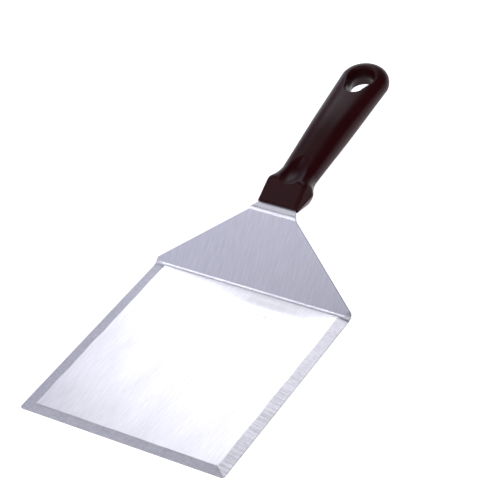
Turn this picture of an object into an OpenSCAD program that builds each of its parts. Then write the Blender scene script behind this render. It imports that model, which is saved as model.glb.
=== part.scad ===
// Grill spatula: one bent stainless sheet, which is blade, shoulder and tang,
// and one moulded handle that fills round the tang and through its keying holes.
// The origin is the middle of the blade's flat underside. +X runs towards the
// handle, +Y to the blade's left and +Z up. All lengths are in millimetres.

/* [Blade] */
// Width of the blade
blade_w = 127; // [90:1:160]
// Length of the flat blade, from the front edge to the lower bend line
blade_l = 138; // [100:1:180]
// Thickness of the steel sheet
sheet = 1.5; // [1:0.1:2]
// Radius of the two front corners
front_corner_r = 2; // [1:0.5:8]

/* [Ground edges] */
// Thickness left along the ground edges
edge_land = 0.4; // [0.2:0.1:0.8]
// Width of the ground bevel on each side
side_bevel_w = 7; // [3:0.5:10]
// Width of the ground bevel at the front
front_bevel_w = 5.7; // [3:0.1:10]
// Distance from the lower bend line to the end of each side bevel
bevel_stop = 3; // [2:0.5:10]
// Length of the slope that ends each side bevel
bevel_runout = 1.5; // [0.5:0.5:4]

/* [Shoulder] */
// Angle between the blade and the shoulder
shoulder_angle = 47.5; // [30:0.5:60]
// Length of the shoulder between its two bend lines
shoulder_l = 45.6; // [38:0.1:60]
// Length of the shoulder past the lower bend that keeps the blade's full width
full_width_l = 1.6; // [1.6:0.1:6]
// Radius where the shoulder's sides start to narrow
shoulder_corner_r = 2.5; // [1:0.5:2.5]
// Width of the sheet at the upper bend
neck_w = 30.5; // [28:0.5:40]
// Inside radius of both bends
bend_r = 3; // [2:0.5:4]

/* [Tang] */
// Angle between the blade and the handle
handle_angle = 9.7; // [4:0.1:20]
// Distance from the upper bend line to the front of the guard
guard_gap = 5.2; // [4:0.1:10]
// Width of the sheet where it enters the guard
tang_mouth_w = 24; // [20:0.5:24]
// Width of the tang inside the grip
tang_w = 15; // [13:0.5:17]
// Length of the tang inside the handle
tang_l = 86; // [70:1:88]
// Radius of the two corners at the end of the tang
tang_end_r = 6; // [3:0.5:6]
// Diameter of the keying holes in the tang
key_hole_d = 7; // [4:0.5:8]
// Distance between the keying holes
key_hole_pitch = 24; // [14:1:26]
// Number of keying holes
key_hole_count = 3; // [1:1:3]

/* [Guard] */
// Length of the guard
guard_l = 15.5; // [12:0.5:20]
// Width of the guard at its front
guard_front_w = 26.4; // [26:0.1:28]
// Height of the guard at its front
guard_front_h = 4; // [3:0.1:6]
// Width of the guard at its rear
guard_rear_w = 31; // [28:0.5:38]
// Height of the guard at its rear
guard_rear_h = 16.4; // [14.5:0.1:20]
// Width of the flat on top of the guard
guard_flat_w = 24; // [20:0.5:25]

/* [Grip] */
// Length of the handle, from the front of the guard to the butt
handle_l = 125.5; // [118:0.5:140]
// Distance from the front of the guard to the narrowest part of the grip
neck_at = 27; // [24:0.5:32]
// Width of the grip at its narrowest
grip_neck_w = 22.4; // [21:0.2:26]
// Height of the grip at its narrowest
grip_neck_h = 14.6; // [13.4:0.2:17]
// Width of the grip at its widest, near the butt
grip_end_w = 30.4; // [28:0.2:36]
// Height of the grip at its middle
grip_mid_h = 17.6; // [15:0.2:22]
// Height of the grip round the hanging hole
grip_end_h = 15.8; // [13:0.2:20]

/* [Thumb hollow] */
// Distance from the front of the guard to the deepest point of the hollow
hollow_at = 23; // [20:0.5:26]
// Thickness of the handle under the hollow, measured from its mid plane
hollow_floor = 4.9; // [4.4:0.1:6]
// Radius of the hollow across the handle
hollow_across_r = 11; // [8:0.5:15]
// Radius of the hollow along the handle
hollow_along_r = 30; // [25:1:50]

/* [Hanging hole] */
// Diameter of the round end of the hole
hole_d = 16; // [12:0.5:17]
// Diameter of the narrow end of the hole
hole_tip_d = 10; // [6:0.5:11]
// Distance between the centres of the two ends
hole_span = 9.7; // [8:0.1:11]
// Thickness of the handle behind the hole
hole_wall = 8.7; // [7:0.1:12]

/* [Hidden] */

// Overlap of a cutting shape past the surface it cuts
past = 1;
// Steps in a rounded corner of the sheet's outline, and in each bend
corner_steps = 6;
bend_steps = 12;
// Points round one section of the grip
section_points = 40;
// Distance between sections along the grip
section_pitch = 3;
// Sections in the rounded butt
butt_steps = 9;
// How far round the butt the last section stands, in degrees of a quarter turn
butt_last_angle = 84;
// Squareness of the grip's section: 2 is an ellipse
guard_squareness = 3;
grip_squareness = 2.4;
// How fast the sides fall away behind the guard
neck_fall = 2.2;
// Length of the rounded butt as a share of its width
butt_roundness = 0.48;

// Lengths that the two bends take from the straight sheet beside them
outer_bend_r = bend_r + sheet;
lower_setback = outer_bend_r * tan(shoulder_angle / 2);
upper_turn = shoulder_angle - handle_angle;
upper_setback = bend_r * tan(upper_turn / 2);
lower_bend_x = blade_l / 2;
front_x = -blade_l / 2;
butt_l = grip_end_w * butt_roundness;
butt_at = handle_l - butt_l;
hole_at = handle_l - hole_wall - hole_d / 2;

// Underside of the sheet seen from the side, with a sharp corner at each bend line
upper_corner = [lower_bend_x + shoulder_l * cos(shoulder_angle), shoulder_l * sin(shoulder_angle)];
tang_tip = upper_corner + (guard_gap + tang_l) * [cos(handle_angle), sin(handle_angle)];
under_path = [[front_x, 0], [lower_bend_x, 0], upper_corner, tang_tip];

function unit(v) = v / norm(v);

// Points of an arc that rounds corner b of the path a, b, c
function rounded_corner(a, b, c, r, steps) =
    let (
        to_a = unit(a - b),
        to_c = unit(c - b),
        half_angle = acos(to_a * to_c) / 2,
        centre = b + unit(to_a + to_c) * r / sin(half_angle),
        first = b + to_a * r / tan(half_angle) - centre,
        last = b + to_c * r / tan(half_angle) - centre,
        turn = 180 - 2 * half_angle
    )
    [for (i = [0:steps])
        let (share = i / steps)
        centre + (first * sin((1 - share) * turn) + last * sin(share * turn)) / sin(turn)];

// Outline with one corner radius for each point; 0 keeps the corner sharp
function rounded_outline(points, radii, steps) =
    let (n = len(points))
    [for (i = [0:n - 1])
        each (radii[i] == 0
            ? [points[i]]
            : rounded_corner(points[(i + n - 1) % n], points[i], points[(i + 1) % n], radii[i], steps))];

// The path moved to its left by a distance, with its corners kept sharp
function lifted(path, distance) =
    let (
        last = len(path) - 1,
        left = [for (i = [0:last - 1]) let (along = unit(path[i + 1] - path[i])) [-along[1], along[0]]]
    )
    [for (i = [0:last])
        let (
            before = left[max(0, i - 1)],
            after = left[min(last - 1, i)]
        )
        path[i] + (before + after) * distance / (1 + before * after)];

function mix(a, b, share) = a + (b - a) * share;

function eased(share) = share * share * (3 - 2 * share);

// Half width and half height of the grip at a distance from the front of the guard
function grip_half_w(at) =
    at < neck_at
        ? mix(grip_neck_w, guard_rear_w, pow(1 - (at - guard_l) / (neck_at - guard_l), neck_fall)) / 2
        : mix(grip_neck_w, grip_end_w, min(1, (at - neck_at) / (butt_at - neck_at))) / 2;

function grip_half_h(at) =
    let (middle = (neck_at + butt_at) / 2)
    at < neck_at
        ? mix(grip_neck_h, guard_rear_h, pow(1 - (at - guard_l) / (neck_at - guard_l), neck_fall)) / 2
        : at < middle
            ? mix(grip_neck_h, grip_mid_h, eased((at - neck_at) / (middle - neck_at))) / 2
            : mix(grip_mid_h, grip_end_h, eased(min(1, (at - middle) / (butt_at - middle)))) / 2;

function grip_square(at) =
    mix(grip_squareness, guard_squareness, max(0, 1 - (at - guard_l) / (neck_at - guard_l)));

// One closed section of the grip, as points in the handle's frame
function grip_section(at, half_w, half_h) =
    let (power = 2 / grip_square(at))
    [for (i = [0:section_points - 1])
        let (turn = 360 * i / section_points)
        [at,
         half_w * sign(cos(turn)) * pow(abs(cos(turn)), power),
         half_h * sign(sin(turn)) * pow(abs(sin(turn)), power)]];

// Places along the grip, with the last ones crowding together round the butt
shaft_steps = ceil((butt_at - guard_l) / section_pitch);
shaft_places = [for (i = [0:shaft_steps]) mix(guard_l, butt_at, i / shaft_steps)];
shaft_sections = [for (at = shaft_places) grip_section(at, grip_half_w(at), grip_half_h(at))];
butt_sections = [for (i = [1:butt_steps])
    let (turn = butt_last_angle * i / butt_steps)
    grip_section(
        butt_at + butt_l * sin(turn) / sin(butt_last_angle),
        grip_half_w(butt_at) * cos(turn),
        grip_half_h(butt_at) * sqrt(cos(turn)))];

// Frames of the shoulder and of the tang, with the sheet's underside at height 0
module at_shoulder() {
    translate([lower_bend_x, 0, 0])
        rotate([0, -shoulder_angle, 0])
            children();
}

module at_tang() {
    at_shoulder()
        translate([shoulder_l, 0, 0])
            rotate([0, upper_turn, 0])
                children();
}

// Frame of the handle: its front is the guard's front, on the sheet's mid plane
module at_handle() {
    at_tang()
        translate([guard_gap, 0, sheet / 2])
            children();
}

// Everything above a ground bevel, along X, with the ground edge at y = 0
module bevel_cut(width, length) {
    slope = (sheet - edge_land) / width;
    rotate([90, 0, 90])
        linear_extrude(height = length)
            polygon([
                [-past, edge_land - past * slope],
                [width + past, sheet + past * slope],
                [-past, sheet + past * slope]
            ]);
}

// Side bevel with the slope that ends it short of the lower bend
module side_bevel_cut() {
    end_x = lower_bend_x - bevel_stop;
    lean = bevel_runout * past / sheet;
    intersection() {
        translate([front_x - past, -blade_w / 2, 0])
            bevel_cut(side_bevel_w, blade_l);
        translate([0, -blade_w / 2 + side_bevel_w + past, 0])
            rotate([90, 0, 0])
                linear_extrude(height = side_bevel_w + 3 * past)
                    polygon([
                        [front_x - 2 * past, -past],
                        [end_x - bevel_runout - lean, -past],
                        [end_x + lean, sheet + past],
                        [front_x - 2 * past, sheet + past]
                    ]);
    }
}

// Side bevels and front bevel
module ground_bevels() {
    side_bevel_cut();
    mirror([0, 1, 0])
        side_bevel_cut();
    translate([front_x, blade_w / 2 + past, 0])
        rotate([0, 0, -90])
            bevel_cut(front_bevel_w, blade_w + 2 * past);
}

// What is cut off outside a rounded front corner
module front_corner_trim() {
    arc = rounded_corner([0, blade_w / 2], [front_x, blade_w / 2], [front_x, 0], front_corner_r, corner_steps);
    translate([0, 0, -past])
        linear_extrude(height = sheet + 2 * past)
            polygon(concat(
                [[front_x - past, blade_w / 2 + past], [arc[0][0], blade_w / 2 + past]],
                arc,
                [[front_x - past, arc[corner_steps][1]]]));
}

// What is cut off beside the shoulder and the upper bend
module shoulder_trim() {
    corner = lower_setback + full_width_l;
    end = shoulder_l - upper_setback;
    bend_reach = 2 * outer_bend_r;
    arc = rounded_corner(
        [lower_setback, blade_w / 2], [corner, blade_w / 2], [end, neck_w / 2], shoulder_corner_r, corner_steps);
    at_shoulder()
        translate([0, 0, -bend_reach])
            linear_extrude(height = bend_reach + sheet + past)
                polygon(concat(
                    [[arc[0][0], blade_w / 2 + past]],
                    arc,
                    [[end, neck_w / 2], [end + bend_reach, neck_w / 2], [end + bend_reach, blade_w / 2 + past]]));
}

// What is cut off beside the tang, from the upper bend to its rounded end
module tang_trim() {
    mouth = guard_gap;
    inner = guard_gap + guard_l;
    end = guard_gap + tang_l;
    slope = (neck_w - tang_mouth_w) / 2 / (mouth - upper_setback);
    arc = rounded_corner([inner, tang_w / 2], [end, tang_w / 2], [end, 0], tang_end_r, corner_steps);
    at_tang()
        translate([0, 0, -past])
            linear_extrude(height = sheet + 2 * past)
                polygon(concat(
                    [[upper_setback - past, neck_w / 2 + slope * past], [mouth, tang_mouth_w / 2],
                     [inner, tang_w / 2]],
                    arc,
                    [[end + past, arc[corner_steps][1]], [end + past, blade_w / 2 + past],
                     [upper_setback - past, blade_w / 2 + past]]));
}

module side_trims() {
    front_corner_trim();
    shoulder_trim();
    tang_trim();
}

module key_holes() {
    at_tang()
        for (i = [1:key_hole_count])
            translate([guard_gap + guard_l + (i - 0.5) * key_hole_pitch, 0, -past])
                cylinder(d = key_hole_d, h = sheet + 2 * past, $fn = 64);
}

// The whole sheet, from the ground front edge to the end of the hidden tang
module bent_blade() {
    top_path = lifted(under_path, sheet);
    difference() {
        rotate([90, 0, 0])
            linear_extrude(height = blade_w, center = true)
                polygon(rounded_outline(
                    concat(under_path, [for (i = [len(top_path) - 1:-1:0]) top_path[i]]),
                    [0, outer_bend_r, bend_r, 0, 0, outer_bend_r, bend_r, 0],
                    bend_steps));
        side_trims();
        mirror([0, 1, 0])
            side_trims();
        key_holes();
        ground_bevels();
    }
}

// Wedge-shaped guard: flat sloping top and bottom, and slanted flat sides
module guard() {
    rise = (guard_rear_h - guard_front_h) / 2;
    intersection() {
        rotate([90, 0, 0])
            translate([0, 0, -guard_rear_w / 2])
                linear_extrude(height = guard_rear_w)
                    polygon([
                        [0, -guard_front_h / 2], [guard_l, -guard_front_h / 2 - rise],
                        [guard_l, guard_front_h / 2 + rise], [0, guard_front_h / 2]
                    ]);
        translate([0, 0, -guard_rear_h / 2])
            linear_extrude(height = guard_rear_h)
                polygon([
                    [0, -guard_front_w / 2], [guard_l, -guard_rear_w / 2],
                    [guard_l, guard_rear_w / 2], [0, guard_front_w / 2]
                ]);
        rotate([90, 0, 90])
            linear_extrude(height = guard_l)
                polygon([
                    [-guard_rear_w / 2, 0], [-guard_flat_w / 2, -guard_rear_h / 2],
                    [guard_flat_w / 2, -guard_rear_h / 2], [guard_rear_w / 2, 0],
                    [guard_flat_w / 2, guard_rear_h / 2], [-guard_flat_w / 2, guard_rear_h / 2]
                ]);
    }
}

// Smooth body of the grip, from the rear of the guard to the butt
module grip_body() {
    sections = concat(shaft_sections, butt_sections);
    count = len(sections);
    n = section_points;
    sides = [for (i = [0:count - 2], j = [0:n - 1])
        let (a = i * n + j, b = i * n + (j + 1) % n)
        each [[a, b + n, b], [a, a + n, b + n]]];
    front_face = [[for (j = [0:n - 1]) j]];
    end_face = [[for (j = [n - 1:-1:0]) (count - 1) * n + j]];
    polyhedron(points = [for (s = sections) each s], faces = concat(sides, front_face, end_face));
}

// Barrel-shaped cutter that leaves the thumb hollow behind the guard
module thumb_hollow() {
    translate([hollow_at, 0, hollow_floor + hollow_across_r])
        rotate([0, 90, 0])
            rotate_extrude($fn = 96)
                intersection() {
                    translate([hollow_across_r - hollow_along_r, 0])
                        circle(r = hollow_along_r, $fn = 192);
                    translate([0, -hollow_along_r])
                        square([hollow_across_r + past, 2 * hollow_along_r]);
                }
}

// Teardrop outline of the hanging hole, wide end towards the butt
module hole_outline() {
    lean = acos((hole_d - hole_tip_d) / 2 / hole_span);
    big = hole_d / 2;
    tip = hole_tip_d / 2;
    translate([hole_at, 0])
        circle(r = big, $fn = 96);
    translate([hole_at - hole_span, 0])
        circle(r = tip, $fn = 96);
    polygon([
        [hole_at - big * cos(lean), big * sin(lean)],
        [hole_at - big * cos(lean), -big * sin(lean)],
        [hole_at - hole_span - tip * cos(lean), -tip * sin(lean)],
        [hole_at - hole_span - tip * cos(lean), tip * sin(lean)]
    ]);
}

module handle_body() {
    difference() {
        union() {
            guard();
            grip_body();
        }
        thumb_hollow();
        mirror([0, 0, 1])
            thumb_hollow();
        translate([0, 0, -grip_mid_h])
            linear_extrude(height = 2 * grip_mid_h)
                hole_outline();
    }
}

module blade() {
    color("silver")
        bent_blade();
}

module handle() {
    color([0.10, 0.08, 0.09])
        difference() {
            at_handle()
                handle_body();
            bent_blade();
        }
}

blade();
handle();
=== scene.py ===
import math

import bpy
import numpy as np
from mathutils import Matrix, Vector


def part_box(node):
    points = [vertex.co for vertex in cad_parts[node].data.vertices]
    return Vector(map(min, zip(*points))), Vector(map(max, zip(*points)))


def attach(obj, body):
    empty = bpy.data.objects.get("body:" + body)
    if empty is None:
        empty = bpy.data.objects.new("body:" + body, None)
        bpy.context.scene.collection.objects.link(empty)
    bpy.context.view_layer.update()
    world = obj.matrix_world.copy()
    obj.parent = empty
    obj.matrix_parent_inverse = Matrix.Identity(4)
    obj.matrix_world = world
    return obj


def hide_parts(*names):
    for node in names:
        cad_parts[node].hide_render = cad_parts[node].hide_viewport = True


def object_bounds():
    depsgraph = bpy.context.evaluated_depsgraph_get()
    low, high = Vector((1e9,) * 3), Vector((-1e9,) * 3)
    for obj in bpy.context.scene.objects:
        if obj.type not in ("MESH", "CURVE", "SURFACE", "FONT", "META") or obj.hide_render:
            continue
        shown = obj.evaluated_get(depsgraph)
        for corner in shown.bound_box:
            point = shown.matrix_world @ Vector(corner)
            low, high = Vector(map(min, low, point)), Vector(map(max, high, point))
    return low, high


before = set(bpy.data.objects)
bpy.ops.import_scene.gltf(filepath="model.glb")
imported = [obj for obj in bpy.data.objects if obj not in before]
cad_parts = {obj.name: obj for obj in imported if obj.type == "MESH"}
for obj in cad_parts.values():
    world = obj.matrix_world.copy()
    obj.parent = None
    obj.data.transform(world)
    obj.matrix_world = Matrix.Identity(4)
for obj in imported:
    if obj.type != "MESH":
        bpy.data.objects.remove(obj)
cadBox = [list(corner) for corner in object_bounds()]
mm = 0.001
bladeLow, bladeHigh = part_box("blade")
modelCentre = (Vector(cadBox[0]) + Vector(cadBox[1])) / 2

cameraSettings = {
    "lens": 139.4,              # mm
    "distance": 1095.0,         # mm from the point it aims at
    "aim": (0.0, 5.1, -11.2),   # mm from the middle of the model
    "heading": 33.44,           # degrees from +X towards +Y
    "dip": 37.13,               # degrees below the horizon
    "roll": -5.71,              # degrees
    "sensorWidth": 36.0,        # mm
    "clip": (0.05, 60.0),       # m
}


def placeCamera(settings):
    # looks along a heading and a dip at a point near the model's middle, and rolls about that line
    heading, dip, roll = (math.radians(settings[name]) for name in ("heading", "dip", "roll"))
    forward = Vector((math.cos(heading) * math.cos(dip), math.sin(heading) * math.cos(dip), -math.sin(dip)))
    level = Vector((math.sin(heading), -math.cos(heading), 0.0))
    over = level.cross(forward)
    right = level * math.cos(roll) + over * math.sin(roll)
    up = over * math.cos(roll) - level * math.sin(roll)
    data = bpy.data.cameras.new("mainCamera")
    data.lens = settings["lens"]
    data.sensor_width = settings["sensorWidth"]
    data.clip_start, data.clip_end = settings["clip"]
    camera = bpy.data.objects.new("mainCamera", data)
    bpy.context.scene.collection.objects.link(camera)
    place = modelCentre + Vector(settings["aim"]) * mm - forward * settings["distance"] * mm
    turned = Matrix((right, up, -forward)).transposed().to_4x4()
    camera.matrix_world = Matrix.Translation(place) @ turned
    bpy.context.scene.camera = camera


placeCamera(cameraSettings)
print("camera placed")


def linearColour(hexColour):
    # sRGB hex to the linear values that shaders take
    parts = [int(hexColour[i:i + 2], 16) / 255 for i in (1, 3, 5)]
    return [p / 12.92 if p <= 0.04045 else ((p + 0.055) / 1.055) ** 2.4 for p in parts] + [1.0]


def addNode(tree, kind, settings=None, links=None):
    # one shader node: settings go to its properties or its input sockets, links are (node, output)
    node = tree.nodes.new("ShaderNode" + kind)
    for name, value in (settings or {}).items():
        if hasattr(node, name):
            setattr(node, name, value)
        else:
            node.inputs[name].default_value = value
    for name, (source, output) in (links or {}).items():
        tree.links.new(source.outputs[output], node.inputs[name])
    return node


def newMaterial(name):
    material = bpy.data.materials.new(name)
    material.use_nodes = True
    material.node_tree.nodes.clear()
    return material, material.node_tree


def gridFaces(rows, columns):
    # quads of a grid whose columns close into a ring
    start = np.arange(rows - 1)[:, None] * columns
    here, after = np.arange(columns)[None, :], (np.arange(columns)[None, :] + 1) % columns
    quads = np.stack([start + here, start + after, start + columns + after, start + columns + here], axis=-1)
    return quads.reshape(-1, 4)


def meshFromGrid(name, points):
    # points has shape (rows, columns, 3), in mm; each end ring is closed with one face
    rows, columns = points.shape[:2]
    faces = gridFaces(rows, columns).tolist()
    faces.append(list(range(columns - 1, -1, -1)))
    faces.append([(rows - 1) * columns + j for j in range(columns)])
    mesh = bpy.data.meshes.new(name)
    mesh.from_pydata((points.reshape(-1, 3) * mm).tolist(), [], faces)
    mesh.update()
    return mesh


def newPiece(name, mesh):
    piece = bpy.data.objects.new(name, mesh)
    bpy.context.scene.collection.objects.link(piece)
    return piece


def addValues(mesh, name, values):
    # one number for each vertex, for shaders to read
    layer = mesh.attributes.new(name, "FLOAT", "POINT")
    layer.data.foreach_set("value", np.ascontiguousarray(values, dtype=np.float32).ravel())


def smoothMax(a, b, blend):
    # larger of two fields, rounded over where they come within blend of each other
    near = np.clip(blend - np.abs(a - b), 0.0, None)
    return np.maximum(a, b) + near * near / (4 * blend)


def smoothMin(a, b, blend):
    # smaller of two fields, rounded the same way
    return -smoothMax(-a, -b, blend)


def eased(share):
    # cubic from 0 to 1, level at both ends
    return share * share * (3 - 2 * share)


def spaced(*stretches):
    # places along a line, from (start, end, step) stretches that follow one another
    runs = [np.linspace(a, b, max(2, int(round((b - a) / step)) + 1))[:-1] for a, b, step in stretches]
    return np.concatenate(runs + [[stretches[-1][1]]])


sheetMake = {
    "thickness": 1.5,
    "bladeLength": 138.0,       # front edge to lower bend line
    "shoulderAngle": 47.5,
    "shoulderLength": 45.6,     # between bend lines
    "handleAngle": 9.7,
    "bendRadius": 3.0,          # inside
    "frontCorner": 2.0,
    "fullWidth": 1.6,           # past the lower bend
    "shoulderCorner": 2.5,
    "neckWidth": 31.0,          # where the upper bend starts
    "bendEndWidth": 28.6,       # where it ends
    "guardGap": 5.2,
    "mouthWidth": 24.0,
    "tangWidth": 15.0,
    "tangStart": 15.5,          # inside the handle
    "tangLength": 86.0,
    "tangEndRadius": 6.0,
}
groundMake = {
    "land": 0.4,                # left at the edge
    "sideWidth": 7.0,
    "frontWidth": 5.7,
    "waver": 0.3,               # how far the hand-ground inner line of a side wanders
    "frontWaver": 0.6,          # the front's share of that
    "wander": ((1.0, 5.3, 1.0), (0.7, 2.9, 2.1), (0.5, 9.7, 0.6)),  # strength, length, phase of its sines
    "phases": (0.4, 2.6, 1.3),  # left, right, front
    "crease": 0.10,             # softness of the inner line
    "wheelStart": 3.0,          # ahead of the lower bend line
    "wheelRadius": 3.2,
    "flareFrom": 5.0,           # ahead of the lower bend line, where the bevels start to widen
    "flare": (3.2, 1.4),        # how much wider they get, left and right
    "flareMost": 1.2,           # share of that distance at which the widening stops
    "wheelSide": 0.6,           # past the bevel's inner line
    "wheelSlope": 2.5,
    "wheelWidth": 2.0,          # reach of the front wheel, in widths of the front bevel
    "thinnest": 0.02,
    "halvings": 26,
    "cutShown": (0.02, 0.05),   # depth where grinding starts to show, and how much more shows it fully
    "mitre": 0.06,              # softness of the line between front and side bevels
    "marksFade": (0.0, 45.0),   # x where the wheel marks start to fade and where they end
    "leftMarks": 0.15,          # their strength on the left bevel
}
swellMake = {
    "height": 0.36,
    "length": 18.0,
    "gap": 3.5,                 # between it and the start of the lower bend
    "middle": -16.0,            # y
    "halfWidth": 30.0,
}
edgeBreak = 0.12                # broken edge of the sheet, mm
sheetGrid = {
    # rows along the laid-out sheet: (start, end, step) for the first two stretches, a step for the others
    "front": (0, 9, 0.3),
    "flat": (9, 126, 0.75),
    "beforeBend": 0.4,
    "bendOne": 0.16,
    "afterBend": 8,             # how far the lower bend's rows go on past it
    "shoulder": 0.7,
    "bendTwo": 0.14,
    "neck": 0.5,
    "tang": 1.5,
    "tangTip": (6, 0.4),        # length, step
    # columns on top, counted in from either edge
    "fromEdge": (0.5, 1.1, 1.8, 2.6, 3.4, 4.2, 5.0, 5.6, 6.0, 6.3, 6.6, 6.9, 7.2, 7.5, 7.8,
                 8.2, 8.8, 9.8, 11.5, 14.0, 17.5, 22.0, 27.0, 33.0, 40.0, 48.0, 56.0),
    "under": (-0.6, -0.2, 0.2, 0.6),    # columns underneath, as shares of the half width
    "sharp": 38.0,              # degrees, a crease shows as an edge from here
}

turnOne = math.radians(sheetMake["shoulderAngle"])
turnTwo = math.radians(sheetMake["shoulderAngle"] - sheetMake["handleAngle"])
outerRadius = sheetMake["bendRadius"] + sheetMake["thickness"]
setbackOne = outerRadius * math.tan(turnOne / 2)
setbackTwo = sheetMake["bendRadius"] * math.tan(turnTwo / 2)
frontX = bladeLow[0] / mm
halfWidth = bladeHigh[1] / mm

# places along the underside, laid out flat, where one stretch ends and the next starts
bendOneStart = sheetMake["bladeLength"] - setbackOne
bendOneEnd = bendOneStart + outerRadius * turnOne
bendTwoStart = bendOneEnd + sheetMake["shoulderLength"] - setbackOne - setbackTwo
bendTwoEnd = bendTwoStart + sheetMake["bendRadius"] * turnTwo
mouth = bendTwoEnd + sheetMake["guardGap"] - setbackTwo
tangEnd = mouth + sheetMake["tangLength"]


def undersidePath(s):
    # x, z and slope angle of the underside at a laid-out distance s: straight, arc, straight, arc, straight
    one = np.clip(s - bendOneStart, 0, outerRadius * turnOne) / outerRadius
    two = np.clip(s - bendTwoStart, 0, sheetMake["bendRadius"] * turnTwo) / sheetMake["bendRadius"]
    x = frontX + np.minimum(s, bendOneStart) + outerRadius * np.sin(one)
    z = outerRadius * (1 - np.cos(one))
    slope = np.clip(s - bendOneEnd, 0, bendTwoStart - bendOneEnd)
    x = x + slope * math.cos(turnOne)
    z = z + slope * math.sin(turnOne)
    radius = sheetMake["bendRadius"]
    x = x + radius * (math.sin(turnOne) - np.sin(turnOne - two))
    z = z + radius * (np.cos(turnOne - two) - math.cos(turnOne))
    rest = math.radians(sheetMake["handleAngle"])
    tail = np.clip(s - bendTwoEnd, 0, None)
    x = x + tail * math.cos(rest)
    z = z + tail * math.sin(rest)
    return x, z, one - two


def halfWidthAt(s):
    # half width of the laid-out sheet: corner arc, full width, straight taper, neck, tang and its round end
    make = sheetMake
    corner = bendOneEnd + make["fullWidth"]
    knots = [0, corner, bendTwoStart, bendTwoEnd, mouth, mouth + make["tangStart"], tangEnd]
    widths = [2 * halfWidth, 2 * halfWidth, make["neckWidth"], make["bendEndWidth"], make["mouthWidth"],
              make["tangWidth"], make["tangWidth"]]
    half = np.interp(s, knots, widths) / 2
    # round the corner where the taper starts
    taper = (make["neckWidth"] / 2 - halfWidth) / (bendTwoStart - corner)
    reach = make["shoulderCorner"] * math.tan(math.atan(-taper) / 2)
    across = np.clip((s - (corner - reach)) / (2 * reach), 0, 1)
    half = np.where((across > 0) & (across < 1), halfWidth + taper * reach * across ** 2, half)
    # front corners and the tang's end are quarter circles
    front = make["frontCorner"]
    into = np.clip(front - s, 0, front)
    half = half - (front - np.sqrt(front * front - into * into))
    end = make["tangEndRadius"]
    past = np.clip(s - (tangEnd - end), 0, end)
    return half - (end - np.sqrt(end * end - past * past))


def waver(along, phase):
    # slow wandering of a hand-ground line, from three sines that never line up
    wander = groundMake["wander"]
    sines = [strength * np.sin(along / length + turn * phase) for strength, length, turn in wander]
    return sum(sines) / sum(strength for strength, length, turn in wander)


def groundHeight(x, y):
    # heights of the ground planes at a place in plan: the side bevel, which curves up in the wheel's run-out
    # towards the bend, and the front bevel
    make, thick = groundMake, sheetMake["thickness"]
    drop = thick - make["land"]
    fromSide = halfWidth - np.abs(y)
    left, right, ahead = make["phases"]
    phase = np.where(y > 0, left, right)
    near = np.clip((x - frontX - sheetMake["bladeLength"]) / make["flareFrom"] + 1, 0, make["flareMost"])
    sideWidth = make["sideWidth"] + make["waver"] * waver(x, phase)
    sideWidth = sideWidth + np.where(y > 0, make["flare"][0], make["flare"][1]) * near ** 2
    runOut = np.clip(x - (frontX + sheetMake["bladeLength"] - make["wheelStart"]), 0, None) ** 2
    side = make["land"] + drop * fromSide / sideWidth + runOut / (2 * make["wheelRadius"])
    side = side + make["wheelSlope"] * np.clip(fromSide - sideWidth - make["wheelSide"], 0, None)
    frontWidth = make["frontWidth"] + make["frontWaver"] * make["waver"] * waver(y, ahead)
    front = make["land"] + drop * (x - frontX) / frontWidth
    front = front + make["wheelSlope"] * np.clip(x - frontX - make["wheelWidth"] * frontWidth, 0, None)
    return side, front


def topThickness(s, y):
    # thickness left above the underside, found by halving: the top point may not rise above a ground plane
    x0, z0, angle = undersidePath(s)
    low, high = np.full_like(s + y, groundMake["thinnest"]), np.full_like(s + y, sheetMake["thickness"])
    for _ in range(groundMake["halvings"]):
        middle = (low + high) / 2
        side, front = groundHeight(x0 - middle * np.sin(angle), y)
        above = z0 + middle * np.cos(angle) > np.minimum(side, front)
        high = np.where(above, middle, high)
        low = np.where(above, low, middle)
    return smoothMin(low, np.full_like(low, sheetMake["thickness"]), groundMake["crease"])


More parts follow.
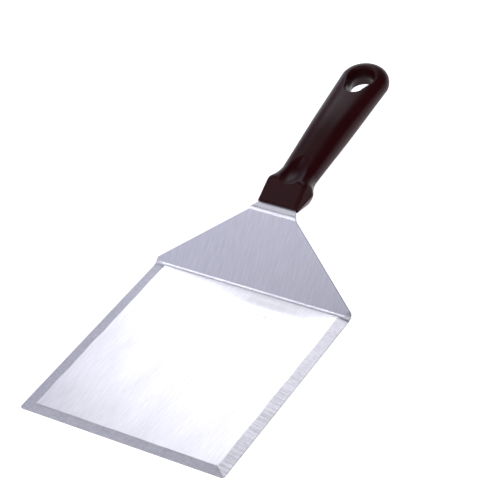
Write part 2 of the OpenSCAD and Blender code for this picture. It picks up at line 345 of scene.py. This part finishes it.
def buildBlade():
    # grid of rows along the laid-out sheet and columns round its section, bent along the underside's path
    grid = sheetGrid
    fineEnd, tipStart = bendOneEnd + grid["afterBend"], tangEnd - grid["tangTip"][0]
    rows = spaced(grid["front"], grid["flat"], (grid["flat"][1], bendOneStart, grid["beforeBend"]),
                  (bendOneStart, fineEnd, grid["bendOne"]), (fineEnd, bendTwoStart, grid["shoulder"]),
                  (bendTwoStart, bendTwoEnd, grid["bendTwo"]), (bendTwoEnd, mouth, grid["neck"]),
                  (mouth, tipStart, grid["tang"]), (tipStart, tangEnd, grid["tangTip"][1]))
    half = 1 - np.array([0.0, edgeBreak, *grid["fromEdge"]]) / halfWidth
    topShare = np.concatenate([half, [0.0], -half[::-1]])
    underShare = np.concatenate([-half[:2], grid["under"], half[1::-1]])
    s = rows[:, None]
    x0, z0, angle = undersidePath(s)
    width = halfWidthAt(s)

    topY = width * topShare[None, :]
    thick = topThickness(s, topY)
    level = thick.copy()
    level[:, [0, -1]] -= edgeBreak
    underY = width * underShare[None, :]
    underLevel = np.zeros_like(underY)
    underLevel[:, [0, -1]] += edgeBreak
    y = np.concatenate([topY, underY], axis=1)
    up = np.concatenate([level, underLevel], axis=1)
    # bending left a low swelling ahead of the bend: a squared sine along the sheet, a bell across it
    into = np.clip(1 - (bendOneStart - swellMake["gap"] - s) / swellMake["length"], 0, 1)
    across = np.exp(-((y - swellMake["middle"]) / swellMake["halfWidth"]) ** 2)
    swell = swellMake["height"] * np.sin(math.pi * into) ** 2 * across
    points = np.stack([x0 - up * np.sin(angle), y, z0 + up * np.cos(angle) + swell], axis=-1)

    mesh = meshFromGrid("blade", points)
    isTop = np.concatenate([np.ones_like(topY), np.zeros_like(underY)], axis=1)
    cut = np.concatenate([sheetMake["thickness"] - thick, np.zeros_like(underY)], axis=1)
    shownFrom, shownOver = groundMake["cutShown"]
    ground = np.clip((cut - shownFrom) / shownOver, 0, 1) * isTop
    side, front = groundHeight(points[..., 0], y)
    frontShare = np.clip((side - front) / groundMake["mitre"] + 0.5, 0, 1)
    # wheel marks show on the right bevel and die away towards the bend
    fadeStart, fadeEnd = groundMake["marksFade"]
    alongMarks = 1 - eased(np.clip((points[..., 0] - fadeStart) / (fadeEnd - fadeStart), 0, 1))
    marks = ground * (1 - frontShare) * alongMarks * np.where(y < 0, 1.0, groundMake["leftMarks"])
    addValues(mesh, "ground", ground)
    # the cut edges, top and underside corner on either side: rougher, and painted darker as shade
    sheared = np.zeros_like(y)
    sheared[:, [0, topY.shape[1] - 1, topY.shape[1], -1]] = 1.0
    addValues(mesh, "sheared", sheared)
    addValues(mesh, "wheelMarks", marks)

    # laid-out map in metres, so that the grain runs along the sheet through both bends
    uv = np.stack([np.broadcast_to(s, y.shape), y], axis=-1).reshape(-1, 2) * mm
    corners = np.zeros(len(mesh.loops), dtype=np.int32)
    mesh.loops.foreach_get("vertex_index", corners)
    layer = mesh.uv_layers.new(name="sheetMap")
    layer.data.foreach_set("uv", uv[corners].astype(np.float32).ravel())
    mesh.shade_smooth()
    mesh.set_sharp_from_angle(angle=math.radians(grid["sharp"]))
    return newPiece("bladeSheet", mesh)


blade = buildBlade()
print("blade sheet made")

handleMake = {
    "length": 125.5,
    "guardLength": 15.5,
    "guardFront": (26.4, 4.0),      # width, height
    "guardRear": (31.0, 16.4),
    "guardFlat": 24.0,              # width of its flat top at the rear
    "guardEdge": 1.3,               # rounding of its edges
    "neckAt": 27.0,
    "neck": (22.4, 14.6),
    "endWidth": 30.4,
    "middleHeight": 17.6,
    "endHeight": 15.8,
    "buttShare": 0.48,
    "squareness": (3.0, 2.4),       # behind the guard, along the grip
    "neckFall": 2.2,
    "hollowAt": 23.0,
    "hollowFloor": 4.9,
    "hollowRadii": (11.0, 30.0),    # across, along
    "hollowEdge": 0.35,
    "holeWide": 16.0,
    "holeNarrow": 10.0,
    "holeSpan": 9.7,
    "holeWall": 8.7,
    "holeRim": 1.4,
    "holeDraft": 1.0,               # how much it narrows from each face to the parting plane
    "halvings": 22,
    "steps": 60,                    # taken outwards along each ray before the halving
}
handleGrid = {
    # (start, end, step) behind the guard's front, the last stretch up to the butt
    "rings": ((0.0, 1.2, 0.12), (1.2, 11, 0.5), (11, 18, 0.22), (18, 37, 0.4)),
    "lastRings": 0.8,
    "butt": (88.0, 43),             # rings evenly turned up to this many degrees, and how many
    "around": 192,
    "flatten": 0.62,                # height over width of the ellipse that spaces the rays
    "reach": 26.0,
    "frontRings": (0.15, 0.5, 0.8, 0.95),   # shares of the first ring that close the flat front
    "tip": 0.3,                     # last ring at the butt's tip, as a share of the one before
    "sharp": 50.0,                  # degrees, a crease shows as an edge from here
}
cutterGrid = {
    "around": 160,
    "reach": 16.0,
    "rim": (78.0, 9),               # turn of the rim's arc in degrees, and its rings
    "collar": (5.0, 12.0),          # width of the ring outside the rim, and its rise in degrees
    "draft": (0.75, 0.5, 0.25, 0.06),   # rings of the drafted wall, as shares of its height
}
mergeDistance = 1e-6                # m
buttLength = handleMake["endWidth"] * handleMake["buttShare"]
buttStart = handleMake["length"] - buttLength


def gripSize(v):
    # half width, half height and squareness of the grip at a distance v behind the guard's front
    make = handleMake
    fall = np.clip(1 - (v - make["guardLength"]) / (make["neckAt"] - make["guardLength"]), 0, None)
    flare = fall ** make["neckFall"]
    along = np.clip((v - make["neckAt"]) / (buttStart - make["neckAt"]), 0, 1)
    width = make["neck"][0] + (make["endWidth"] - make["neck"][0]) * along
    width = width + (make["guardRear"][0] - make["neck"][0]) * flare
    swell = np.where(
        along < 0.5,
        make["neck"][1] + (make["middleHeight"] - make["neck"][1]) * eased(2 * along),
        make["middleHeight"] + (make["endHeight"] - make["middleHeight"]) * eased(2 * along - 1))
    height = swell + (make["guardRear"][1] - make["neck"][1]) * flare
    square = make["squareness"][1] + (make["squareness"][0] - make["squareness"][1]) * np.clip(fall, 0, 1)
    return width / 2, height / 2, square


def handleField(v, y, z):
    # below zero inside the handle: sloped planes of the guard, rounded section of the grip, thumb hollows
    make = handleMake
    across, up = np.abs(y), np.abs(z)
    rise = (make["guardRear"][1] - make["guardFront"][1]) / 2 / make["guardLength"]
    spread = (make["guardRear"][0] - make["guardFront"][0]) / 2 / make["guardLength"]
    lean = (make["guardRear"][0] - make["guardFlat"]) / make["guardRear"][1]
    top = (up - make["guardFront"][1] / 2 - rise * v) / math.hypot(1, rise)
    side = (across + lean * up - make["guardFront"][0] / 2 - spread * v) / math.hypot(1, lean)
    guard = smoothMax(smoothMax(top, side, make["guardEdge"]), -v, make["guardEdge"])
    halfW, halfH, square = gripSize(v)
    into = np.clip((v - buttStart) / buttLength, 0, None)
    outward = np.sqrt((across / halfW) ** 2 + into ** 2)
    grip = ((outward ** square + (up / halfH) ** square) ** (1 / square) - 1) * halfH
    body = smoothMax(guard, grip, make["guardEdge"])
    radiusAcross, radiusAlong = make["hollowRadii"]
    barrel = radiusAcross - (v - make["hollowAt"]) ** 2 / (2 * radiusAlong)
    hollow = barrel - np.hypot(across, up - make["hollowFloor"] - radiusAcross)
    return smoothMax(body, hollow, make["hollowEdge"])


def firstOutside(field, far):
    # distance along each ray to the first place outside, by stepping out and then halving
    low, high = np.zeros_like(far), far.copy()
    found = np.zeros_like(far, dtype=bool)
    steps = handleMake["steps"]
    for i in range(1, steps + 1):
        here = far * i / steps
        outside = (field(here) > 0) & ~found
        high = np.where(outside, here, high)
        low = np.where(found | outside, low, here)
        found |= outside
    for _ in range(handleMake["halvings"]):
        middle = (low + high) / 2
        outside = field(middle) > 0
        high = np.where(outside, middle, high)
        low = np.where(outside, low, middle)
    return (low + high) / 2


def handleToModel(v, y, z):
    # from the handle's own frame, on the sheet's mid plane at the guard's front, to the model's
    x0, z0, angle = (float(value) for value in undersidePath(np.array(mouth)))
    middle = sheetMake["thickness"] / 2
    return np.stack([x0 + v * math.cos(angle) - (z + middle) * math.sin(angle), y + 0 * v,
                     z0 + v * math.sin(angle) + (z + middle) * math.cos(angle)], axis=-1)


def buildHandleBody():
    # rings of points found along rays from the handle's axis, closer together where it curves
    grid = handleGrid
    places = spaced(*grid["rings"], (grid["rings"][-1][1], buttStart, grid["lastRings"]))
    turns = np.linspace(0, math.radians(grid["butt"][0]), grid["butt"][1] + 1)[1:]
    places = np.concatenate([places, buttStart + buttLength * np.sin(turns)])
    around = np.linspace(0, 2 * math.pi, grid["around"] + 1)[:-1]
    ray = np.arctan2(grid["flatten"] * np.sin(around), np.cos(around))
    v, ray = np.meshgrid(places, ray, indexing="ij")
    far = np.full_like(v, grid["reach"])
    out = firstOutside(lambda r: handleField(v, r * np.cos(ray), r * np.sin(ray)), far)
    y, z = out * np.cos(ray), out * np.sin(ray)
    front = [np.stack([0 * y[0], y[0] * share, z[0] * share], axis=-1) for share in grid["frontRings"]]
    rings = np.stack([v, y, z], axis=-1)
    tip = rings[-1] * np.array([1, grid["tip"], grid["tip"]])
    tip[:, 0] = handleMake["length"]
    rings = np.concatenate([np.stack(front), rings, tip[None]])
    points = handleToModel(rings[..., 0], rings[..., 1], rings[..., 2])
    return newPiece("handleMoulding", meshFromGrid("handle", points))


def holeOutline(count, grow):
    # teardrop from two arcs and their shared tangents, pushed outwards by grow
    make = handleMake
    wide, narrow, span = make["holeWide"] / 2, make["holeNarrow"] / 2, make["holeSpan"]
    wideAt = make["length"] - make["holeWall"] - wide
    lean = math.acos((wide - narrow) / span)
    wideArc, narrowArc, tangent = 2 * wide * (math.pi - lean), 2 * narrow * lean, span * math.sin(lean)
    total = wideArc + narrowArc + 2 * tangent
    place = np.linspace(0, total, count, endpoint=False)
    before, after = math.pi - lean, math.pi + lean
    heading = np.interp(place, [0, wideArc, wideArc + tangent, wideArc + tangent + narrowArc, total],
                        [-before, before, before, after, after])
    onWide = place <= wideArc
    onFirst = (place > wideArc) & (place <= wideArc + tangent)
    onNarrow = (place > wideArc + tangent) & (place <= wideArc + tangent + narrowArc)
    share = np.where(onFirst, (place - wideArc) / tangent, (place - total + tangent) / tangent)
    centre = np.where(onWide, wideAt, np.where(onNarrow, wideAt - span, 0))
    radius = np.where(onWide, wide, narrow)
    v = centre + radius * np.cos(heading)
    y = radius * np.sin(heading)
    fromV = np.where(onFirst, wideAt + wide * math.cos(before), wideAt - span + narrow * math.cos(after))
    toV = np.where(onFirst, wideAt - span + narrow * math.cos(before), wideAt + wide * math.cos(after))
    fromY = np.where(onFirst, wide * math.sin(before), narrow * math.sin(after))
    toY = np.where(onFirst, narrow * math.sin(before), wide * math.sin(after))
    straight = ~(onWide | onNarrow)
    v = np.where(straight, fromV + (toV - fromV) * share, v)
    y = np.where(straight, fromY + (toY - fromY) * share, y)
    return v + grow * np.cos(heading), y + grow * np.sin(heading)


def buildHoleCutter():
    # a tube along the hole, narrowest at the parting plane, flaring into a rounded rim at top and underside
    rim, draft, grid = handleMake["holeRim"], handleMake["holeDraft"], cutterGrid
    count = grid["around"]
    far = np.full(count, grid["reach"])
    v, y = holeOutline(count, rim)
    surface = firstOutside(lambda r: handleField(v, y, r), far)
    last, (collar, rise) = math.radians(grid["rim"][0]), grid["collar"]
    outV, outY = holeOutline(count, rim * (1 - math.cos(last)) + collar)
    lastZ = surface - rim + rim * math.sin(last)
    rows = [(*holeOutline(count, 0.0), far), (outV, outY, lastZ + collar * math.tan(math.radians(rise)))]
    for turn in np.linspace(last, 0, grid["rim"][1]):
        rows.append((*holeOutline(count, rim * (1 - math.cos(turn))), surface - rim + rim * math.sin(turn)))
    for share in grid["draft"]:
        rows.append((*holeOutline(count, -draft * (1 - share)), (surface - rim) * share))
    upper = [np.stack(row, axis=-1) for row in rows]
    lower = [row * np.array([1, 1, -1]) for row in reversed(upper)]
    rings = np.stack(upper + lower)
    points = handleToModel(rings[..., 0], rings[..., 1], rings[..., 2])
    return newPiece("holeCutter", meshFromGrid("holeCutter", points))


def recalculateOutward(piece):
    # doubles merged, then every face turned outwards
    bpy.context.view_layer.objects.active = piece
    for other in bpy.context.selected_objects:
        other.select_set(False)
    piece.select_set(True)
    bpy.ops.object.mode_set(mode="EDIT")
    bpy.ops.mesh.select_all(action="SELECT")
    bpy.ops.mesh.remove_doubles(threshold=mergeDistance)
    bpy.ops.mesh.normals_make_consistent(inside=False)
    bpy.ops.object.mode_set(mode="OBJECT")
    piece.select_set(False)


def cutAway(piece, cutter):
    # boolean difference, applied, after which the cutter is removed
    modifier = piece.modifiers.new("cut", "BOOLEAN")
    modifier.operation = "DIFFERENCE"
    modifier.solver = "EXACT"
    modifier.object = cutter
    bpy.context.view_layer.update()
    depsgraph = bpy.context.evaluated_depsgraph_get()
    cut = bpy.data.meshes.new_from_object(piece.evaluated_get(depsgraph))
    piece.modifiers.clear()
    piece.data = cut
    bpy.data.objects.remove(cutter)


def buildHandle():
    # the moulding, less the hanging hole and the sheet that it is moulded round
    handle = buildHandleBody()
    recalculateOutward(handle)
    cutter = buildHoleCutter()
    recalculateOutward(cutter)
    cutAway(handle, cutter)
    tang = newPiece("tangCutter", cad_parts["blade"].data.copy())
    recalculateOutward(tang)
    cutAway(handle, tang)
    handle.data.shade_smooth()
    handle.data.set_sharp_from_angle(angle=math.radians(handleGrid["sharp"]))
    return handle


recalculateOutward(blade)
handle = buildHandle()
print("handle made", len(handle.data.vertices), "vertices; blade", len(blade.data.vertices))


steelLook = {
    "colour": "#dcdcde",
    # darker grey of the cut edges, painted shade
    "edgeShadeColour": "#86868c",
    "grain": (80.0, 950.0, 1.0),        # streaks to the metre along and across the sheet
    "cloud": (20.0, 60.0, 1.0),
    "marks": (640.0, 30.0, 30.0),       # wheel marks to the metre
    "grit": (700.0, 420.0, 420.0),
    "turned": (0.004, 0.6),             # radians, grain and grit
    "grainTones": [(0.30, 0.86), (0.70, 1.0)],  # (place, grey) at the ramp's two ends
    "markTones": [(0.36, 0.80), (0.60, 1.0)],
    "gritTones": [(0.30, 0.84), (0.70, 1.0)],
    "roughness": (0.30, 0.34),          # brushed faces, least and most
    "groundRoughness": 0.36,
    "edgeRoughness": 0.55,
    "bump": (0.2, 0.00003),             # strength, height in m
}


def brushedStainless():
    # 430 stainless, belt-brushed along its length, then ground on three edges: bright, with fine directional
    # grain on the faces and coarser wheel marks square to the edge on the bevels
    look = steelLook
    material, tree = newMaterial("brushedStainless")
    chart = addNode(tree, "UVMap", {"uv_map": "sheetMap"})
    place = addNode(tree, "TexCoord")

    # belt grain: streaks about 1 mm wide and 12 mm long, drawn as coarse as they need to show
    grainMap = addNode(tree, "Mapping", {"Scale": look["grain"], "Rotation": (0.0, 0.0, look["turned"][0])},
                       {"Vector": (chart, "UV")})
    grain = addNode(tree, "TexNoise", {"Scale": 1.0, "Detail": 2.0, "Roughness": 0.6},
                    {"Vector": (grainMap, "Vector")})
    # slow change in how matt the brushing is, over some 50 mm by 17 mm
    cloudMap = addNode(tree, "Mapping", {"Scale": look["cloud"]}, {"Vector": (chart, "UV")})
    cloud = addNode(tree, "TexNoise", {"Scale": 1.0, "Detail": 2.0}, {"Vector": (cloudMap, "Vector")})

    # wheel marks 1.6 mm apart along a side bevel, and a gritty mottle everywhere it is ground
    markMap = addNode(tree, "Mapping", {"Scale": look["marks"]}, {"Vector": (place, "Object")})
    marks = addNode(tree, "TexNoise", {"Scale": 1.0, "Detail": 1.0}, {"Vector": (markMap, "Vector")})
    gritMap = addNode(tree, "Mapping", {"Scale": look["grit"], "Rotation": (0.0, 0.0, look["turned"][1])},
                      {"Vector": (place, "Object")})
    grit = addNode(tree, "TexNoise", {"Scale": 1.0, "Detail": 2.0}, {"Vector": (gritMap, "Vector")})
    groundMask = addNode(tree, "Attribute", {"attribute_name": "ground"})
    markMask = addNode(tree, "Attribute", {"attribute_name": "wheelMarks"})

    tones = []
    for source, stops in ((grain, "grainTones"), (marks, "markTones"), (grit, "gritTones")):
        ramp = addNode(tree, "ValToRGB", links={"Fac": (source, "Fac")})
        for element, (place, grey) in zip(ramp.color_ramp.elements, look[stops]):
            element.position = place
            element.color = (grey, grey, grey, 1.0)
        tones.append(ramp)
    grainTone, markTone, gritTone = tones
    groundTone = addNode(tree, "MixRGB", {"blend_type": "MULTIPLY"},
                         {"Fac": (markMask, "Fac"), "Color1": (gritTone, "Color"),
                          "Color2": (markTone, "Color")})
    tone = addNode(tree, "MixRGB", {"blend_type": "MIX"},
                   {"Fac": (groundMask, "Fac"), "Color1": (grainTone, "Color"),
                    "Color2": (groundTone, "Color")})
    # the cut edges are torn and dull, and their darker grey colour is painted shade
    edgeMask = addNode(tree, "Attribute", {"attribute_name": "sheared"})
    edgeShaded = addNode(tree, "MixRGB", {"blend_type": "MIX", "Color2": linearColour(look["edgeShadeColour"])},
                    {"Fac": (edgeMask, "Fac"), "Color1": (tone, "Color")})
    steel = addNode(tree, "MixRGB",
                    {"blend_type": "MULTIPLY", "Fac": 1.0, "Color2": linearColour(look["colour"])},
                    {"Color1": (edgeShaded, "Color")})

    height = addNode(tree, "MixRGB", {"blend_type": "MIX"},
                     {"Fac": (groundMask, "Fac"), "Color1": (grain, "Fac"), "Color2": (grit, "Fac")})
    strength, depth = look["bump"]
    bump = addNode(tree, "Bump", {"Strength": strength, "Distance": depth}, {"Height": (height, "Color")})
    # roughness of the brushed faces, then of the ground edges, then of the torn edges
    smoothest, mattest = look["roughness"]
    rough = addNode(tree, "MapRange",
                    {"From Min": 0.3, "From Max": 0.7, "To Min": smoothest, "To Max": mattest},
                    {"Value": (cloud, "Fac")})
    roughAll = addNode(tree, "MapRange",
                       {"From Min": 0.0, "From Max": 1.0, "To Max": look["groundRoughness"]},
                       {"Value": (groundMask, "Fac"), "To Min": (rough, "Result")})
    roughEdge = addNode(tree, "MapRange",
                        {"From Min": 0.0, "From Max": 1.0, "To Max": look["edgeRoughness"]},
                        {"Value": (edgeMask, "Fac"), "To Min": (roughAll, "Result")})
    shader = addNode(tree, "BsdfPrincipled", {"Metallic": 1.0},
                     {"Base Color": (steel, "Color"), "Roughness": (roughEdge, "Result"),
                      "Normal": (bump, "Normal")})
    addNode(tree, "OutputMaterial", links={"Surface": (shader, "BSDF")})
    return material


plasticLook = {
    "colours": ("#240103", "#2d0306"),  # either end of a slow drift in the colour
    "ior": 1.49,
    "specular": 0.13,
    "roughness": (0.27, 0.34),
    "texture": 3000.0,                  # grains to the metre
    "flow": 60.0,                       # drifts to the metre
    "bump": (0.15, 0.00004),            # strength, height in m
}


def mouldedPolypropylene():
    # polypropylene, injection moulded in a finely spark-eroded mould: near black with a red-brown cast and
    # a satin sheen
    look = plasticLook
    material, tree = newMaterial("mouldedPolypropylene")
    place = addNode(tree, "TexCoord")
    # mould texture about 0.3 mm across
    fine = addNode(tree, "TexNoise", {"Scale": look["texture"], "Detail": 2.0},
                   {"Vector": (place, "Object")})
    flow = addNode(tree, "TexNoise", {"Scale": look["flow"], "Detail": 3.0}, {"Vector": (place, "Object")})
    darker, lighter = (linearColour(colour) for colour in look["colours"])
    tone = addNode(tree, "MixRGB", {"Color1": darker, "Color2": lighter}, {"Fac": (flow, "Fac")})
    smoothest, mattest = look["roughness"]
    rough = addNode(tree, "MapRange",
                    {"From Min": 0.3, "From Max": 0.7, "To Min": smoothest, "To Max": mattest},
                    {"Value": (flow, "Fac")})
    strength, depth = look["bump"]
    bump = addNode(tree, "Bump", {"Strength": strength, "Distance": depth}, {"Height": (fine, "Fac")})
    shader = addNode(tree, "BsdfPrincipled", {"IOR": look["ior"], "Specular IOR Level": look["specular"]},
                     {"Base Color": (tone, "Color"), "Roughness": (rough, "Result"),
                      "Normal": (bump, "Normal")})
    addNode(tree, "OutputMaterial", links={"Surface": (shader, "BSDF")})
    return material


blade.data.materials.clear()
blade.data.materials.append(brushedStainless())
handle.data.materials.clear()
handle.data.materials.append(mouldedPolypropylene())
print("materials made")

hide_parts("blade")
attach(blade, "root")
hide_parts("handle")
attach(handle, "root")

studioMake = {
    "floorRadius": 2.6,                 # m, flat part of the paper
    "coveRadius": 0.5,                  # m, where it sweeps up
    "coveTop": 0.72,                    # m, height of its rim
    "coveRings": 12,
    "around": 96,
    "innerRings": [0.05, 1.0],          # m from the middle
    "floorGap": 0.0002,                 # m, below the blade
    "floorRoughness": 0.9,
    "floorColour": "#fbfbfb",
    "floorGlow": 0.62,                  # light table under the paper
    "worldColour": "#e6e6fb",
    "worldStrength": 0.18,
}
lampMake = {
    # heading and height in degrees from the model, distance and size in m, glow as radiance, tint
    "keyBox": (31, 39, 1.6, (0.66, 0.46), 2.95, "#fafaff"),
    "leftWall": (72, 29, 2.2, (2.9, 1.5), 0.38, "#dadafd"),
    "rearPanel": (131, 35, 2, (1.3, 1.2), 0.82, "#dfdff8"),
    "overhead": (93, 63, 1.8, (0.5, 0.36), 3.4, "#eeeeff"),
    "bendStrip": (134, 54, 1.9, (0.8, 0.16), 7.5, "#f4f4ff"),
    "rightCard": (17, 52, 1.6, (0.34, 0.44), 2.6, "#f4f4ff"),
    "cameraFill": (215, 52, 2.2, (1.3, 1.3), 2.5, "#ffffff"),
}


def placeLamp(name, settings):
    # a rectangle that faces the model from a heading and a height
    heading, height, distance, size, glow, tint = settings
    heading, height = math.radians(heading), math.radians(height)
    level = math.cos(height)
    away = Vector((math.cos(heading) * level, math.sin(heading) * level, math.sin(height)))
    data = bpy.data.lights.new(name, "AREA")
    data.shape = "RECTANGLE"
    data.size, data.size_y = size
    data.energy = glow * math.pi * data.size * data.size_y
    data.color = linearColour(tint)[:3]
    lamp = bpy.data.objects.new(name, data)
    bpy.context.scene.collection.objects.link(lamp)
    lamp.rotation_mode = "QUATERNION"
    lamp.location = modelCentre + away * distance
    lamp.rotation_quaternion = away.to_track_quat("Z", "Y")


def buildStudio():
    # paper laid flat and swept up all round: a profile of (distance, height) turned about the vertical
    make = studioMake
    turn = np.linspace(0, math.pi / 2, make["coveRings"])
    cove, flat = make["coveRadius"], make["floorRadius"]
    out = np.concatenate([make["innerRings"], flat + cove * np.sin(turn), [flat + cove]])[:, None]
    rise = np.concatenate([[0.0, 0.0], cove * (1 - np.cos(turn)), [make["coveTop"]]])[:, None]
    around = np.linspace(0, 2 * math.pi, make["around"] + 1)[:-1]
    height = rise + 0 * around + cadBox[0][2] - make["floorGap"]
    points = np.stack([out * np.cos(around), out * np.sin(around), height], axis=-1)
    faces = gridFaces(*points.shape[:2]).tolist() + [list(range(len(around) - 1, -1, -1))]
    mesh = bpy.data.meshes.new("floor")
    mesh.from_pydata(points.reshape(-1, 3).tolist(), [], faces)
    mesh.update()
    floor = newPiece("floor", mesh)
    material, tree = newMaterial("floorPaper")
    shader = addNode(tree, "BsdfPrincipled",
                     {"Base Color": linearColour(make["floorColour"]), "Roughness": make["floorRoughness"],
                      "Specular IOR Level": 0.0, "Emission Color": (1.0, 1.0, 1.0, 1.0),
                      "Emission Strength": make["floorGlow"]})
    addNode(tree, "OutputMaterial", links={"Surface": (shader, "BSDF")})
    mesh.materials.append(material)
    world = bpy.data.worlds.new("studio")
    bpy.context.scene.world = world
    world.use_nodes = True
    world.node_tree.nodes.clear()
    glow = addNode(world.node_tree, "Background",
                   {"Color": linearColour(make["worldColour"]), "Strength": make["worldStrength"]})
    addNode(world.node_tree, "OutputWorld", links={"Surface": (glow, "Background")})
    for name, settings in lampMake.items():
        placeLamp(name, settings)


buildStudio()
bpy.context.scene.view_settings.view_transform = "Standard"
print("studio made")
